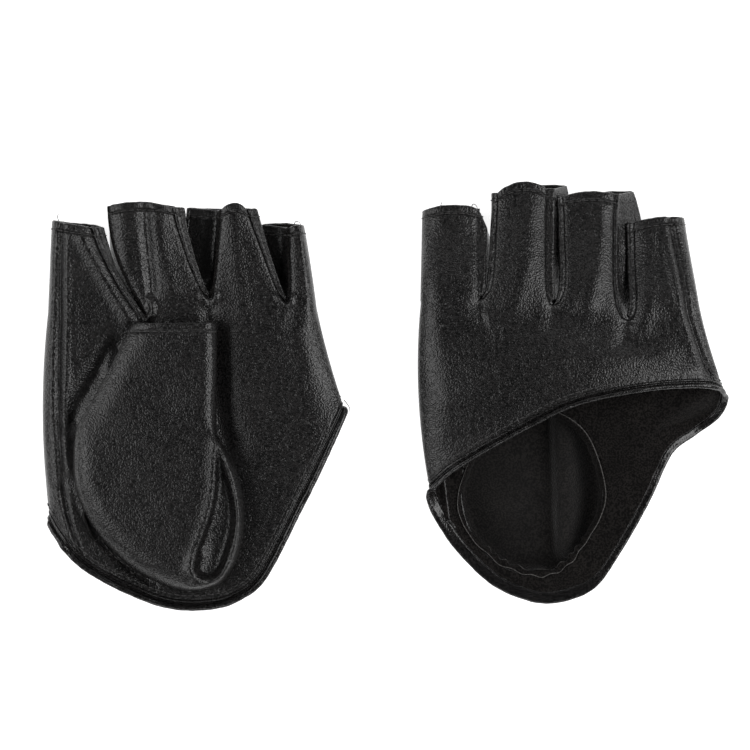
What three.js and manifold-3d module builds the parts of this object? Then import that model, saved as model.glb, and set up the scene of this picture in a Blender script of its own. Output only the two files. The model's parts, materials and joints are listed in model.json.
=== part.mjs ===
// A pair of short "half palm" fingerless gloves in thin leather, laid side by side on a table.
// Each glove is sewn from a back panel, a palm panel, three V-shaped strips between the fingers
// (fourchettes), a thumb tube and a rolled binding round the wrist, held by rows of thread.
// The left-hand glove lies palm up with its thumb folded over the palm. The right-hand glove lies
// back up, on top of its own thumb. Millimetres, +Z up, fingers along +Y.
//
// Each glove is drawn in its own frame: x runs from the index-finger edge to the little-finger edge,
// y from the wrist to the fingertips, and z up from the table. Both gloves have the index side at x = 0.
import * as THREE from "three";
import { mergeVertices } from "three/addons/utils/BufferGeometryUtils.js";
import Module from "manifold-3d";

const wasm = await Module();
wasm.setup();

// ---------------------------------------------------------------- driving dimensions
const LEATHER = 1.2; // thickness of a panel with its bonded lining
const SEAM_GAP = 0.55; // from a seam's middle to the edge of each piece sewn there
const BINDING_GAP = 0.8; // from the panels' edges to the binding that is sewn along them
const BINDING_WIDTH = 3.2;
const BINDING_THICKNESS = 2.3;
const THREAD = 0.35; // thickness of a row of thread
const THREAD_STANDOFF = 0.5; // from the leather's face to the middle of the thread on it
const HEM_ROW = 1.93; // where the stitching of a finger's hem lies, with its opening at 2
const THUMB_HEM_ROW = 0.97; // and of the thumb's, with its opening at 1
const HEM_GROOVE = 0.65; // how deep that stitching draws the leather in
const WRIST_INSET = 0.9; // of the binding's stitching, from the panels' edges
const EDGE_LEVEL = 0.72; // how far up a finger's height its panel edges sit
const ROLL = 0.1; // share of the glove's width taken by each rolled side
const SIDE_SEAM = 7; // how far each side seam lies in from the glove's edge
const RIGHT_GLOVE_AT = [135, 2.8, -0.8]; // the right glove's frame, from the left glove's

const LEATHER_BLACK = 0x151414;
const THREAD_BLACK = 0x0c0c0c;

// Finger names from the index side to the little side.
const FINGERS = ["index", "middle", "ring", "little"];
const PALM = "palm";
const BACK = "back";

// A glove's shape. Outlines are [x, y]; a tip's palm and back are the x range of that face's hem.
const LEFT = {
  name: "left",
  up: PALM,
  edgeX: { hem: [2.5, 107.5], middle: [0.3, 102.5], knuckle: [2.2, 98.6] },
  hem: {
    palm: [[2.5, 36], [8.5, 26.5], [18.5, 17], [34, 9], [48, 4.3], [61.5, 4.4], [70, 7.4], [77.5, 14],
      [89.4, 37], [98.3, 55], [107.5, 75]],
    back: [[2.5, 36], [7, 47], [21, 57.5], [35.5, 64.8], [50, 72], [65, 76.2], [83, 79.1], [99, 80.4],
      [107.5, 75]],
  },
  knuckle: {
    palm: [[2.2, 106], [37.5, 103.7], [60.2, 111.2], [87.6, 109.8], [98.6, 108]],
    back: [[2.2, 106], [26, 107], [50, 107], [76, 104], [98.6, 108]],
  },
  tips: [
    { y: 137.5, palm: [3.5, 22.8], back: [3.5, 22] },
    { y: 144.5, palm: [25, 49], back: [24.5, 46.5] },
    { y: 143.6, palm: [62, 77], back: [56, 73] },
    { y: 137, palm: [85, 94.2], back: [79.4, 94.2] },
  ],
  // Lowest and highest leather face: at the wrist hem, over the palm, and at the fingertips.
  low: { hem: 1.6, palm: 0, tip: 1.4 },
  high: { hem: 11, palm: 10.8, tip: 12.6 },
  // How far the lower face has left its height at the hem: here it lies flat on the table.
  settled: (across, t) => t * 7,
  arch: 0, // how much higher the upper hem bows at its middle
  thumb: { centre: [42, 35.8], radii: [25, 24.6], tip: [48.1, 101.9], bulge: 8 },
};

const RIGHT = {
  name: "right",
  up: BACK,
  edgeX: { hem: [3.5, 108.5], middle: [-0.4, 104], knuckle: [0.6, 100] },
  hem: {
    palm: [[3.5, 43], [8, 34], [16, 22], [27.5, 10.5], [37.5, 5.4], [46, 3.6], [55, 5.4], [63, 9.6],
      [71.5, 21.6], [80.5, 37.8], [88.5, 54.5], [99.5, 62.5], [108.5, 72]],
    back: [[3.5, 43], [10, 49], [22, 56.6], [36.7, 64.8], [51, 72], [65.5, 76.2], [83.5, 79.1],
      [101, 80.8], [108.5, 72]],
  },
  knuckle: {
    palm: [[0.6, 107], [24.5, 107], [51.5, 106], [77, 103], [100, 106]],
    back: [[0.6, 107], [21, 107.6], [47.4, 106.2], [74, 101.2], [100, 106]],
  },
  tips: [
    { y: 140.4, palm: [1.2, 23.2], back: [1.2, 20.9] },
    { y: 147.8, palm: [26.4, 50], back: [25.6, 46] },
    { y: 145.6, palm: [53.6, 74.4], back: [49.4, 70] },
    { y: 136.6, palm: [77.4, 95.4], back: [74, 95.4] },
  ],
  low: { hem: 3, palm: 10.9, tip: 1.6 },
  high: { hem: 18, palm: 21.6, tip: 12.8 },
  // Held up by the thumb beneath, but for the little-finger side of the wrist, which hangs down.
  settled: (across, t) => Math.max(t * 4, 3.4 - across * 3.4),
  arch: 9,
  thumb: { centre: [41.2, 36], radii: [23, 23.6], tip: [48.1, 102], bulge: 3 },
};

// The thumb tube lies flat against the palm, from its base round the thumb hole to its opening.
const THUMB = {
  halfWidth: 15.3, // at its opening
  height: 8.6, // at its opening
  gap: 1, // between its base and the palm
  tipGap: 1.5, // between its opening and the palm
  domeHeight: 9, // of the leather round the base
  holeMargin: 3, // the hole is this much smaller all round than the base
};

// ---------------------------------------------------------------- small maths
const mix = (a, b, t) => a + (b - a) * t;
const clamp01 = (t) => Math.min(1, Math.max(0, t));
const smooth = (t) => clamp01(t) ** 2 * (3 - 2 * clamp01(t));
// A quarter round: 0 at t = 0, rising steeply, 1 from t = 1.
const quarterRound = (t) => Math.sqrt(1 - (1 - clamp01(t)) ** 2);
// A smooth line through a few [x, y] points, as a function y(x).
function lineThrough(points) {
  const curve = new THREE.SplineCurve(points.map(([x, y]) => new THREE.Vector2(x, y)));
  const samples = curve.getPoints(120);
  return (x) => {
    const next = samples.findIndex((p) => p.x >= x);
    if (next < 1) return samples[next < 0 ? samples.length - 1 : 0].y;
    const [a, b] = [samples[next - 1], samples[next]];
    return mix(a.y, b.y, (x - a.x) / (b.x - a.x));
  };
}
// How far a row at t is drawn into the groove of a hem's stitching, for an opening at t = end.
const grooveAt = (t, hemRow, end) => HEM_GROOVE * clamp01(1 - Math.abs(t - hemRow) / (end - hemRow));
// The parabola that takes three values at 0, 0.5 and 1.
const bowed = (start, middle, end, t) =>
  mix(start, end, t) + 4 * t * (1 - t) * (middle - (start + end) / 2);

// ---------------------------------------------------------------- the glove's skin
// The skin is one closed tube. A point on it is given by the finger lane it lies in (0 to 3), s from 0
// to 1 across that lane, the side it is on, and t along it: 0 at the wrist hem, 1 at the knuckles and
// 2 at the fingertips.
function skinOf(glove) {
  const hem = { palm: lineThrough(glove.hem.palm), back: lineThrough(glove.hem.back) };

  function level(lane, s) {
    const left = lane === 0 ? 0 : EDGE_LEVEL;
    const right = lane === 3 ? 0 : EDGE_LEVEL;
    const edge = s < 0.5 ? left : right;
    return edge + (1 - edge) * quarterRound(2 * Math.min(s, 1 - s) / 0.55);
  }

  function bodyLevel(across) {
    return quarterRound(Math.min(across, 1 - across) / ROLL);
  }

  return function point(lane, s, side, t) {
    const [k0, k1] = [glove.knuckle[side][lane], glove.knuckle[side][lane + 1]];
    const knuckle = [mix(k0[0], k1[0], s), mix(k0[1], k1[1], s)];
    const [first, last] = [glove.knuckle[side][0][0], glove.knuckle[side][4][0]];
    const across = (knuckle[0] - first) / (last - first);
    const facing = side === glove.up ? 1 : -1;
    let x, y, low, high, rise;
    if (t <= 1) {
      const [left, right] = [0, 1].map((i) =>
        bowed(glove.edgeX.hem[i], glove.edgeX.middle[i], glove.edgeX.knuckle[i], t));
      const hemX = mix(glove.edgeX.hem[0], glove.edgeX.hem[1], across);
      x = mix(left, right, across);
      y = mix(hem[side](hemX), knuckle[1], t);
      low = mix(glove.low.hem, glove.low.palm, smooth(glove.settled(across, t)));
      high = mix(glove.high.hem, glove.high.palm, smooth(t * 2.2))
        + (facing > 0 ? glove.arch * Math.sin(Math.PI * across) * (1 - smooth(t)) : 0);
      rise = mix(bodyLevel(across), level(lane, s), smooth((t - 0.7) / 0.3));
    } else {
      const tip = glove.tips[lane];
      const w = t - 1;
      x = mix(knuckle[0], mix(tip[side][0], tip[side][1], s), w);
      y = mix(knuckle[1], tip.y, w);
      low = mix(glove.low.palm, glove.low.tip, smooth(w)) + grooveAt(t, HEM_ROW, 2);
      high = mix(glove.high.palm, glove.high.tip, smooth(w)) - grooveAt(t, HEM_ROW, 2);
      rise = level(lane, s);
    }
    const middle = (low + high) / 2;
    return new THREE.Vector3(x, y, middle + facing * ((high - low) / 2) * rise);
  };
}

// ---------------------------------------------------------------- sheets and solids
// The geometry of a manifold solid.
function geometryOf(solid) {
  const mesh = solid.getMesh();
  const stride = mesh.numProp;
  const positions = new Float32Array(mesh.numVert * 3);
  for (let i = 0; i < mesh.numVert; i += 1)
    positions.set(mesh.vertProperties.subarray(i * stride, i * stride + 3), i * 3);
  const geometry = new THREE.BufferGeometry();
  geometry.setAttribute("position", new THREE.BufferAttribute(positions, 3));
  geometry.setIndex(new THREE.BufferAttribute(mesh.triVerts, 1));
  geometry.computeVertexNormals();
  return geometry;
}

// A solid from a closed surface's vertices and triangles, turned to face out.
function solidOf(vertices, triangles) {
  const vertProperties = new Float32Array(vertices.flatMap((v) => [v.x, v.y, v.z]));
  const triVerts = new Uint32Array(triangles.flat());
  const solid = new wasm.Manifold(new wasm.Mesh({ numProp: 3, vertProperties, triVerts }));
  if (solid.volume() >= 0) return solid;
  return solidOf(vertices, triangles.map(([a, b, c]) => [a, c, b]));
}

function quadNormal(vertices, [a, b, c, d]) {
  const [across, along] = [vertices[c].clone().sub(vertices[a]), vertices[d].clone().sub(vertices[b])];
  return across.cross(along);
}

// Thickens an open sheet of quads to the side that its quads face away from, and closes its rim.
function thicken(vertices, quads, thickness) {
  const normals = vertices.map(() => new THREE.Vector3());
  for (const quad of quads) {
    const normal = quadNormal(vertices, quad).normalize();
    quad.forEach((i) => normals[i].add(normal));
  }
  const inner = vertices.map((v, i) => v.clone().addScaledVector(normals[i].normalize(), -thickness));
  const n = vertices.length;
  const triangles = [];
  const rim = new Map();
  for (const [a, b, c, d] of quads) {
    triangles.push([a, b, c], [a, c, d], [n + c, n + b, n + a], [n + d, n + c, n + a]);
    for (const [i, j] of [[a, b], [b, c], [c, d], [d, a]]) {
      if (rim.has(`${j},${i}`)) rim.delete(`${j},${i}`);
      else rim.set(`${i},${j}`, [i, j]);
    }
  }
  for (const [i, j] of rim.values()) triangles.push([j, i, n + i], [j, n + i, n + j]);
  return solidOf([...vertices, ...inner], triangles);
}

// The quads of a grid of rows, each turned so that on the whole they face away from the grid's middle,
// or towards it. A closed grid's last column joins its first.
function gridQuads(vertices, columns, { closed = false, inwards = false } = {}) {
  const rows = vertices.length / columns;
  const quads = [];
  for (let r = 0; r + 1 < rows; r += 1)
    for (let c = 0; c + (closed ? 0 : 1) < columns; c += 1) {
      const next = (c + 1) % columns;
      quads.push([r * columns + c, r * columns + next, (r + 1) * columns + next, (r + 1) * columns + c]);
    }
  const middle = vertices.reduce((sum, v) => sum.add(v), new THREE.Vector3()).divideScalar(vertices.length);
  const outwards = quads.reduce((sum, quad) =>
    sum + quadNormal(vertices, quad).dot(vertices[quad[0]].clone().sub(middle)), 0);
  return outwards > 0 === !inwards ? quads : quads.map((quad) => quad.reverse());
}

// A rod of rectangular section along a line of points. Its width lies along each point's own direction.
function rodAlong(points, directions, width, thickness, closed) {
  const n = points.length;
  const neighbour = (i) => points[closed ? (i + n) % n : Math.min(Math.max(i, 0), n - 1)];
  const vertices = points.flatMap((point, i) => {
    const tangent = neighbour(i + 1).clone().sub(neighbour(i - 1)).normalize();
    const wide = directions[i].clone().addScaledVector(tangent, -directions[i].dot(tangent)).normalize();
    const thick = new THREE.Vector3().crossVectors(tangent, wide);
    return [[-1, -1], [1, -1], [1, 1], [-1, 1]].map(([u, v]) =>
      point.clone().addScaledVector(wide, u * width / 2).addScaledVector(thick, v * thickness / 2));
  });
  const triangles = [];
  for (let i = 0; i + (closed ? 0 : 1) < n; i += 1)
    for (let k = 0; k < 4; k += 1) {
      const [a, b] = [i * 4 + k, i * 4 + (k + 1) % 4];
      const [c, d] = [((i + 1) % n) * 4 + (k + 1) % 4, ((i + 1) % n) * 4 + k];
      triangles.push([a, b, c], [a, c, d]);
    }
  const last = (n - 1) * 4;
  if (!closed) triangles.push([2, 1, 0], [3, 2, 0], [last, last + 1, last + 2], [last, last + 2, last + 3]);
  return solidOf(vertices, triangles);
}

// ---------------------------------------------------------------- panels
const ROWS = [0, 0.14, 0.3, 0.48, 0.66, 0.84, 1, 1.45, 2 * HEM_ROW - 2, HEM_ROW, 2];
const INNER_COLUMNS = [0, 0.14, 0.5, 0.86, 1];
const ROUND_COLUMNS = [0, 0.11, 0.35, 0.84]; // shares of the way in from the glove's edge to the flat
const WRAP_COLUMNS = [0.15, 0.5, 1]; // shares of the strip that is wrapped round to its seam

// The width of a finger lane on one side.
function laneWidth(glove, side, lane, t) {
  const [knuckle0, knuckle1] = glove.knuckle[side].slice(lane, lane + 2);
  const [tip0, tip1] = glove.tips[lane][side];
  return mix(knuckle1[0] - knuckle0[0], tip1 - tip0, clamp01(t - 1));
}

// The columns of one panel at t, lane by lane. The palm panel wraps round the little-finger edge to a
// seam on the back, and the back panel wraps round the index edge to a seam on the palm.
function panelColumns(glove, side, t) {
  const other = side === PALM ? BACK : PALM;
  const [seamLane, wrapLane] = side === PALM ? [0, 3] : [3, 0];
  const seam = (SIDE_SEAM + SEAM_GAP) / laneWidth(glove, side, seamLane, t);
  const wrap = (SIDE_SEAM - SEAM_GAP) / laneWidth(glove, other, wrapLane, t);
  const round = Math.min(0.7, (SIDE_SEAM * 1.4) / laneWidth(glove, side, wrapLane, t));
  // Both outer lanes are listed from the glove's edge inwards, and one of them is turned round below.
  const seamColumns = [seam, mix(seam, 1, 0.35), mix(seam, 1, 0.75), 1].map((s) => ({ side, s }));
  const wrapColumns = [
    ...WRAP_COLUMNS.map((f) => ({ side: other, s: f * wrap })).reverse(),
    ...ROUND_COLUMNS.map((f) => ({ side, s: f * round })),
    ...[mix(round, 1, 0.5), 1].map((s) => ({ side, s })),
  ];
  const inner = INNER_COLUMNS.map((s) => ({ side, s }));
  const turned = (columns) => columns.map((c) => ({ side: c.side, s: 1 - c.s })).reverse();
  return side === PALM
    ? [seamColumns, inner, inner, turned(wrapColumns)]
    : [wrapColumns, inner, inner, turned(seamColumns)];
}

function panelSolid(glove, skin, side) {
  const vertices = [];
  const quads = [];
  const rows = ROWS.map((t) => panelColumns(glove, side, t));
  let shared = []; // the column of vertices between this lane and the one before
  for (const lane of [0, 1, 2, 3]) {
    const ids = rows[0][lane].map((_, c) => ROWS.map((t, r) => {
      if (c === 0 && lane > 0 && t <= 1) return shared[r];
      const column = rows[r][lane][c];
      vertices.push(skin(lane, column.s, column.side, t));
      return vertices.length - 1;
    }));
    for (let c = 0; c + 1 < ids.length; c += 1)
      for (let r = 0; r + 1 < ROWS.length; r += 1) {
        const quad = [ids[c][r], ids[c + 1][r], ids[c + 1][r + 1], ids[c][r + 1]];
        quads.push(side === glove.up ? quad : quad.reverse());
      }
    shared = ids[ids.length - 1];
  }
  return thicken(vertices, quads, LEATHER);
}

// An upright elliptical plug that cuts the thumb hole through the palm panel.
function thumbHoleCutter(glove) {
  const { centre: [x, y], radii } = glove.thumb;
  const outline = new THREE.Shape();
  outline.absellipse(x, y, radii[0] - THUMB.holeMargin, radii[1] - THUMB.holeMargin, 0, 2 * Math.PI);
  const plug = new THREE.ExtrudeGeometry(outline, { depth: 60, bevelEnabled: false, curveSegments: 7 });
  plug.deleteAttribute("normal");
  plug.deleteAttribute("uv");
  const merged = mergeVertices(plug.translate(0, 0, -20));
  return new wasm.Manifold(new wasm.Mesh({
    numProp: 3,
    vertProperties: merged.attributes.position.array,
    triVerts: new Uint32Array(merged.index.array),
  }));
}

// ---------------------------------------------------------------- fourchettes
// A V-shaped strip between two fingers: down the wall of one and up the wall of the next.
function fourchetteSolid(glove, skin, gap) {
  const wallHeight = (glove.high.tip - glove.low.tip) * EDGE_LEVEL;
  const trim = (LEATHER + SEAM_GAP * 2.3) / wallHeight;
  const across = [trim, 0.5, 1 - trim];
  const along = [-1, -0.66, -0.33, 0, 0.33, 0.66, 1];
  const vertices = along.flatMap((step) => {
    const [lane, s] = step < 0 ? [gap, 1] : [gap + 1, 0];
    const palmEdge = skin(lane, s, PALM, 1 + Math.abs(step));
    const backEdge = skin(lane, s, BACK, 1 + Math.abs(step));
    return across.map((f) => palmEdge.clone().lerp(backEdge, f));
  });
  return thicken(vertices, gridQuads(vertices, across.length, { inwards: true }), LEATHER);
}

// ---------------------------------------------------------------- thumb
// A point on the thumb tube. angle runs round it, with its near side at -90 degrees, and t from its base.
function thumbPoint(glove, angle, t) {
  const { centre, radii, tip, bulge } = glove.thumb;
  const [c, s] = [Math.cos(angle), Math.sin(angle)];
  const off = glove.up === PALM ? 1 : -1; // which way the thumb lies off the palm
  const palm = off > 0 ? glove.high.palm : glove.low.palm;
  const z = (lift) => palm + off * lift;
  const nearSide = (1 - s) / 2;
  const flat = (v) => Math.sign(v) * Math.abs(v) ** 0.55;
  const tipLift = THUMB.tipGap + THUMB.height * (1 - flat(s)) / 2;
  const path = new THREE.CubicBezierCurve3(
    new THREE.Vector3(centre[0] + radii[0] * c, centre[1] + radii[1] * s, z(THUMB.gap)),
    new THREE.Vector3(centre[0] + (radii[0] + bulge) * c, centre[1] + (radii[1] + 2) * s + 2,
      z(THUMB.gap + THUMB.domeHeight * nearSide)),
    new THREE.Vector3(tip[0] + THUMB.halfWidth * 1.25 * c - 2, tip[1] - 38, z(tipLift)),
    new THREE.Vector3(tip[0] + THUMB.halfWidth * c, tip[1], z(tipLift)),
  );
  const groove = grooveAt(t, THUMB_HEM_ROW, 1);
  return path.getPoint(t).add(new THREE.Vector3(-c * groove, 0, off * flat(s) * groove));
}

const THUMB_COLUMNS = 20;
const THUMB_ROWS = [0, 0.06, 0.16, 0.3, 0.5, 0.75, 2 * THUMB_HEM_ROW - 1, THUMB_HEM_ROW, 1];
const thumbAngle = (i) => (i / THUMB_COLUMNS) * 2 * Math.PI;

function thumbSolid(glove) {
  const vertices = THUMB_ROWS.flatMap((t) =>
    Array.from({ length: THUMB_COLUMNS }, (_, i) => thumbPoint(glove, thumbAngle(i), t)));
  return thicken(vertices, gridQuads(vertices, THUMB_COLUMNS, { closed: true }), LEATHER);
}

// A ring of thread in the seam between the thumb's base and the palm round the hole.
function thumbSeamThreadSolid(glove) {
  const { centre, radii } = glove.thumb;
  const palm = glove.up === PALM ? glove.high.palm + THUMB.gap / 2 : glove.low.palm - THUMB.gap / 2;
  const outs = Array.from({ length: THUMB_COLUMNS }, (_, i) =>
    new THREE.Vector3(Math.cos(thumbAngle(i)), Math.sin(thumbAngle(i)), 0));
  const points = outs.map(({ x, y }) => new THREE.Vector3(
    centre[0] + (radii[0] + THREAD) * x, centre[1] + (radii[1] + THREAD) * y, palm));
  return rodAlong(points, outs, THREAD, THREAD, true);
}

// ---------------------------------------------------------------- binding and threads
// For each place round the wrist hem, along the palm and back along the back: the panel's edge, the way
// off that edge, and the way out of the glove.
function wristFrames(glove, skin) {
  const places = [PALM, BACK].map((side) => panelColumns(glove, side, 0)
    .flatMap((columns, lane) => columns.slice(lane > 0 ? 1 : 0).map((column) => ({ lane, ...column }))));
  const round = [...places[0], ...places[1].reverse()];
  const n = round.length;
  const at = (i, t) => skin(round[(i + n) % n].lane, round[(i + n) % n].s, round[(i + n) % n].side, t);
  return round.map((_, i) => {
    const tangent = at(i + 1, 0).sub(at(i - 1, 0)).normalize();
    const away = at(i, 0).sub(at(i, ROWS[1]));
    away.addScaledVector(tangent, -away.dot(tangent)).normalize();
    const out = new THREE.Vector3().crossVectors(away, tangent);
    if (glove.up === BACK) out.negate();
    return { edge: at(i, 0), away, out };
  });
}

function bindingSolid(frames) {
  const centres = frames.map(({ edge, away, out }) => edge.clone()
    .addScaledVector(away, BINDING_GAP + BINDING_WIDTH / 2).addScaledVector(out, -LEATHER / 2));
  return rodAlong(centres, frames.map((f) => f.away), BINDING_WIDTH, BINDING_THICKNESS, true);
}

// This row stands off a little further than the others, because the leather bends in two ways under it.
function bindingThreadSolid(frames) {
  const points = frames.map(({ edge, away, out }) => edge.clone()
    .addScaledVector(away, -WRIST_INSET).addScaledVector(out, THREAD_STANDOFF * 1.3));
  return rodAlong(points, frames.map((f) => f.away), THREAD, THREAD, true);
}

// A ring of thread round the outside of a tube that runs along y, from the points of its section.
function ringThreadSolid(section) {
  const n = section.length;
  const middle = section.reduce((sum, p) => sum.add(p), new THREE.Vector3()).divideScalar(n);
  const outs = section.map((p, i) => {
    const sides = [[i - 1, i], [i, i + 1]].map(([a, b]) => {
      const side = section[(b + n) % n].clone().sub(section[(a + n) % n]).setY(0).normalize();
      const out = new THREE.Vector3(side.z, 0, -side.x);
      return out.dot(p.clone().sub(middle)) > 0 ? out : out.negate();
    });
    const out = sides[0].clone().add(sides[1]).normalize();
    return out.divideScalar(Math.max(0.3, out.dot(sides[0])));
  });
  const points = section.map((p, i) => p.clone().addScaledVector(outs[i], THREAD_STANDOFF));
  return rodAlong(points, outs, THREAD, THREAD, true);
}

function fingerThreadSolid(glove, skin, lane) {
  const [palm, back] = [PALM, BACK].map((side) => panelColumns(glove, side, HEM_ROW)[lane]);
  return ringThreadSolid([...palm, ...back.reverse()].map((c) => skin(lane, c.s, c.side, HEM_ROW)));
}

function thumbThreadSolid(glove) {
  return ringThreadSolid(Array.from({ length: THUMB_COLUMNS }, (_, i) =>
    thumbPoint(glove, thumbAngle(i), THUMB_HEM_ROW)));
}

// The thread that closes a side seam lies in the middle of the leather, between the two panels' edges.
function sideThreadSolid(glove, skin, lane) {
  const edges = ROWS.map((t) => [PALM, BACK].map((side) => {
    const column = panelColumns(glove, side, t)[lane].at(lane === 0 ? 0 : -1);
    return skin(lane, column.s, column.side, t);
  }));
  const middles = edges.map(([a, b]) => a.clone().add(b).divideScalar(2));
  const across = edges.map(([a, b]) => b.clone().sub(a).normalize());
  const facing = (lane === 0 ? PALM : BACK) === glove.up ? 1 : -1;
  const points = middles.map((middle, i) => {
    const along = middles[Math.min(i + 1, ROWS.length - 1)].clone().sub(middles[Math.max(i - 1, 0)]);
    const out = new THREE.Vector3().crossVectors(across[i], along).normalize();
    return middle.addScaledVector(out, (out.z * facing > 0 ? -1 : 1) * LEATHER / 2);
  });
  return rodAlong(points, across, THREAD, THREAD, false);
}

// ---------------------------------------------------------------- assembly
function meshOf(name, solid, { color, roughness }) {
  const material = new THREE.MeshStandardMaterial({ color, roughness, metalness: 0 });
  const mesh = new THREE.Mesh(geometryOf(solid), material);
  mesh.name = name;
  return mesh;
}
const leather = (name, solid) => meshOf(name, solid, { color: LEATHER_BLACK, roughness: 0.45 });
const thread = (name, solid) => meshOf(name, solid, { color: THREAD_BLACK, roughness: 0.7 });

function gloveGroup(glove) {
  const skin = skinOf(glove);
  const named = (name) => `${glove.name}_${name}`;
  const group = new THREE.Group();
  group.add(leather(named("back_panel"), panelSolid(glove, skin, BACK)));
  group.add(leather(named("palm_panel"), panelSolid(glove, skin, PALM).subtract(thumbHoleCutter(glove))));
  for (const gap of [0, 1, 2]) {
    const name = named(`fourchette_${FINGERS[gap]}_${FINGERS[gap + 1]}`);
    group.add(leather(name, fourchetteSolid(glove, skin, gap)));
  }
  const frames = wristFrames(glove, skin);
  group.add(leather(named("wrist_binding"), bindingSolid(frames)));
  group.add(thread(named("binding_thread"), bindingThreadSolid(frames)));
  FINGERS.forEach((finger, lane) =>
    group.add(thread(named(`hem_thread_${finger}`), fingerThreadSolid(glove, skin, lane))));
  group.add(thread(named("side_seam_thread_index"), sideThreadSolid(glove, skin, 0)));
  group.add(thread(named("side_seam_thread_little"), sideThreadSolid(glove, skin, 3)));
  const thumb = new THREE.Group();
  group.add(thread(named("thumb_seam_thread"), thumbSeamThreadSolid(glove)));
  thumb.add(leather(named("thumb"), thumbSolid(glove)));
  thumb.add(thread(named("hem_thread_thumb"), thumbThreadSolid(glove)));
  group.add(thumb);
  return group;
}

const pair = new THREE.Group();
const rightGlove = gloveGroup(RIGHT);
rightGlove.position.set(...RIGHT_GLOVE_AT);
pair.add(gloveGroup(LEFT), rightGlove);

// The origin is in the middle of the pair, on the table.
const box = new THREE.Box3().setFromObject(pair);
const middle = box.getCenter(new THREE.Vector3());
pair.position.set(-middle.x, -middle.y, -box.min.z);

export default pair;
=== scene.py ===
"""A pair of black leather half-palm fingerless gloves: the left one palm up, the right one back up.

Each glove is drawn in its own frame in millimetres: x from the index-finger edge to the
little-finger edge, y from the wrist to the fingertips and z up. Its sewn pieces are separate:
two panels, three strips between the fingers, a thumb, a wrist binding and rows of stitches.
"""

import json
from types import SimpleNamespace as Shape

import bpy
import numpy as np
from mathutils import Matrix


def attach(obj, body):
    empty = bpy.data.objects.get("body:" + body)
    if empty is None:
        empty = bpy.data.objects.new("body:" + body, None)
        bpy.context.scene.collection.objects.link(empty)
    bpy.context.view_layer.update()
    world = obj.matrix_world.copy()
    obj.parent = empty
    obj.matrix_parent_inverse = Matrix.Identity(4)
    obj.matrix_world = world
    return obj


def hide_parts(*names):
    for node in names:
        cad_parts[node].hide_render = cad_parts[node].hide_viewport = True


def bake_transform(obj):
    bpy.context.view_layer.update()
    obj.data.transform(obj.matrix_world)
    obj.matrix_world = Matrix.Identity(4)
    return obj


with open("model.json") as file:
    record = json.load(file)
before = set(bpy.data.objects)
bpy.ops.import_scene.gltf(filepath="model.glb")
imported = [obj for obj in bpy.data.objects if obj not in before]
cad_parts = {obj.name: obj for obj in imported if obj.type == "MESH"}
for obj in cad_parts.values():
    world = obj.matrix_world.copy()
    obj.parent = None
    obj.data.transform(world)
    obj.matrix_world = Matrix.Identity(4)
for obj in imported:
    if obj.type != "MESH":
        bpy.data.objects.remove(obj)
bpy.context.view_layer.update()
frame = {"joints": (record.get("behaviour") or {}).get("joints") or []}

MM = 0.001
LEATHER = 1.2  # thickness of a panel with its lining
STRIP = 0.9  # of the strips between the fingers
PALM, BACK = "palm", "back"
OTHER = {PALM: BACK, BACK: PALM}
FINGERS = ["index", "middle", "ring", "little"]
SEAM_LANE = {PALM: 0, BACK: 3}  # the finger lane that each panel's side seam lies in
HEM_STEP = 2.5  # from a finger's opening to its row of stitches
ROLL = 0.1  # share of the glove's width taken by each rolled side
EDGE_LEVEL = 0.78  # how far up a finger's height its panel edges sit
LINE_STEP = 0.9  # between points along the wrist's edge
LOWEST = 0.00005  # metres over the table
BODY_LENGTH = 68  # from the wrist's edge to the knuckles, about
THUMB_LIFT = 9.7  # from the palm to the top of the folded thumb


# ---- camera, light, floor
def put(name, data):
    made = bpy.data.objects.new(name, data)
    bpy.context.scene.collection.objects.link(made)
    return made


def make_camera():
    data = bpy.data.cameras.new("camera")
    data.sensor_width = 36
    data.lens = 200
    camera = put("camera", data)
    camera.location = (-3.6 * MM, 8.5 * MM, 1.5)
    bpy.context.scene.camera = camera


make_camera()


def area_light(name, location, rotation, size, energy):
    data = bpy.data.lights.new(name, "AREA")
    data.shape = "RECTANGLE"
    data.size, data.size_y = size
    data.energy = energy
    light = put(name, data)
    light.location = location
    light.rotation_euler = np.radians(rotation)


def make_lights():
    area_light("left softbox", (-0.86, 0.05, 0.74), (0, -49, 0), (0.62, 1.1), 6.2)
    area_light("right softbox", (0.86, 0.05, 0.74), (0, 49, 0), (0.62, 1.1), 9.4)
    area_light("far softbox", (0, 1.05, 0.55), (-62, 0, 0), (0.9, 0.3), 1.0)
    area_light("near softbox", (0, -1.05, 0.6), (60, 0, 0), (0.9, 0.14), 2.3)
    world = bpy.data.worlds.new("studio")
    bpy.context.scene.world = world
    world.use_nodes = True
    background = world.node_tree.nodes["Background"]
    background.inputs["Color"].default_value = (1, 1, 1, 1)
    background.inputs["Strength"].default_value = 0.06
    bpy.context.scene.view_settings.view_transform = "Standard"


# ---- small maths
def mix(a, b, t):
    return a + (b - a) * t


def smooth(t):
    t = np.clip(t, 0, 1)
    return t * t * (3 - 2 * t)


def quarter_round(t):
    return np.sqrt(1 - (1 - np.clip(t, 0, 1)) ** 2)


def bowed(start, middle, end, t):
    """The parabola that takes three values at 0, 0.5 and 1."""
    return mix(start, end, t) + 4 * t * (1 - t) * (middle - (start + end) / 2)


def unit(v):
    return v / np.maximum(np.linalg.norm(v, axis=-1, keepdims=True), 1e-9)


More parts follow.
